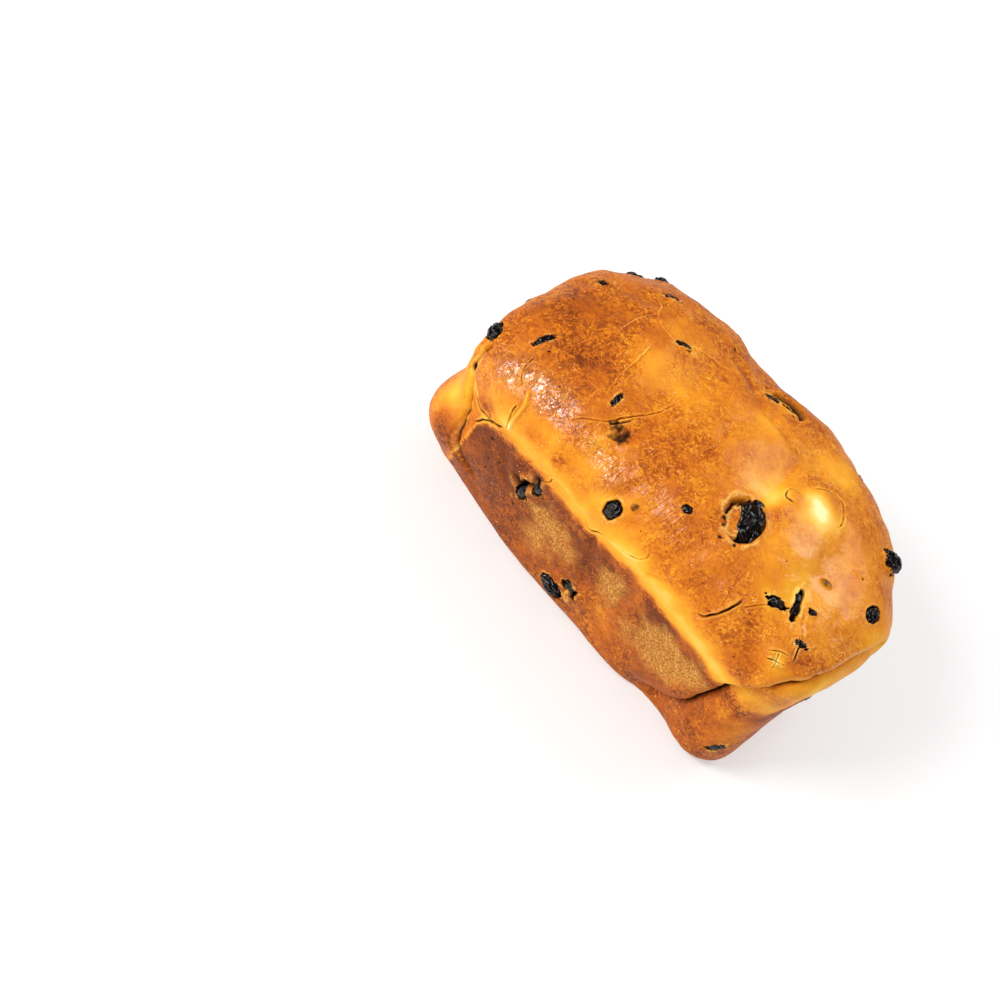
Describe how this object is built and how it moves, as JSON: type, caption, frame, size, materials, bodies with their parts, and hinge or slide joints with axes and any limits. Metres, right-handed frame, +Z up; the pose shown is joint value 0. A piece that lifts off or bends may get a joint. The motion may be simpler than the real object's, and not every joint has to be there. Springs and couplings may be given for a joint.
{
  "type": "raisin bread loaf",
  "caption": "Small tin-baked loaf of sweet raisin bread with a domed, glazed crust, coiled ends and raisins set in its surface.",
  "frame": {"origin": "middle of the flat base", "axes": "+X along the loaf, +Y across it towards the fuller flank, +Z up through the dome"},
  "size_m": [0.1892, 0.1095, 0.0983],
  "materials": {
    "crust": "baked golden-brown crust with an egg-wash gloss",
    "raisin": "dark wrinkled raisin skin, slightly glossy"
  },
  "bodies": {
    "root": {"loaf": "crust", "raisin_01": "raisin", "raisin_02": "raisin", "raisin_03": "raisin", "raisin_04": "raisin", "raisin_05": "raisin", "raisin_06": "raisin", "raisin_07": "raisin", "raisin_08": "raisin", "raisin_09": "raisin", "raisin_10": "raisin", "raisin_11": "raisin", "raisin_12": "raisin", "raisin_13": "raisin", "raisin_14": "raisin", "raisin_15": "raisin", "raisin_16": "raisin", "raisin_17": "raisin", "raisin_18": "raisin", "raisin_19": "raisin", "raisin_20": "raisin", "raisin_21": "raisin", "raisin_22": "raisin", "raisin_23": "raisin", "raisin_24": "raisin", "raisin_25": "raisin", "raisin_26": "raisin", "raisin_27": "raisin", "raisin_28": "raisin", "raisin_29": "raisin", "raisin_30": "raisin", "raisin_31": "raisin", "raisin_32": "raisin", "raisin_33": "raisin", "raisin_34": "raisin", "raisin_35": "raisin", "raisin_36": "raisin", "raisin_37": "raisin", "raisin_38": "raisin"}
  },
  "joints": []
}
